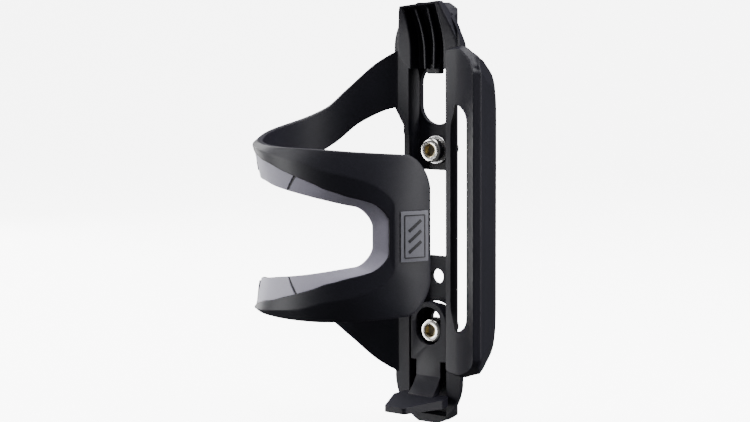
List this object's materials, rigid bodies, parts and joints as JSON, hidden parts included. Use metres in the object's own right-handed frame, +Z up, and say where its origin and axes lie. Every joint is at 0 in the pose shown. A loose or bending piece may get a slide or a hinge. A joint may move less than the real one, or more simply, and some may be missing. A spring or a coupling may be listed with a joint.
{
  "type": "water bottle cage",
  "caption": "Side-entry bicycle bottle cage: a channelled spine with a wrap-round arm, a cradle wing, a neck hook and a sliding bottle foot, with its mounting bolts.",
  "frame": {"origin": "midway between the two mounting bolts, on the face that meets the bicycle frame", "axes": "+Y into the bicycle frame along the bolts, +Z up along the spine, +X towards the side where the bottle enters"},
  "size_m": [0.0741, 0.0906, 0.1485],
  "materials": {
    "moulding": "fine matte moulded texture",
    "trim": "satin grey",
    "badge": "satin printed plate",
    "bolt_steel": "polished stainless",
    "washer_steel": "stamped"
  },
  "bodies": {
    "cage": {"spine": "moulding", "side_wing": "moulding", "wrap_arm": "moulding", "neck_hook": "moulding", "trim_upper": "trim", "trim_front": "trim", "trim_lower": "trim", "badge_plate": "badge", "upper_bolt": "bolt_steel", "lower_bolt": "bolt_steel", "upper_washer": "washer_steel", "lower_washer": "washer_steel"},
    "foot": {"sliding_foot": "moulding"}
  },
  "joints": [
    {"name": "foot_slide", "type": "slide", "parent": "cage", "child": "foot", "axis": [0, 0, 1], "range_m": [-0.004, 0.00035]}
  ]
}
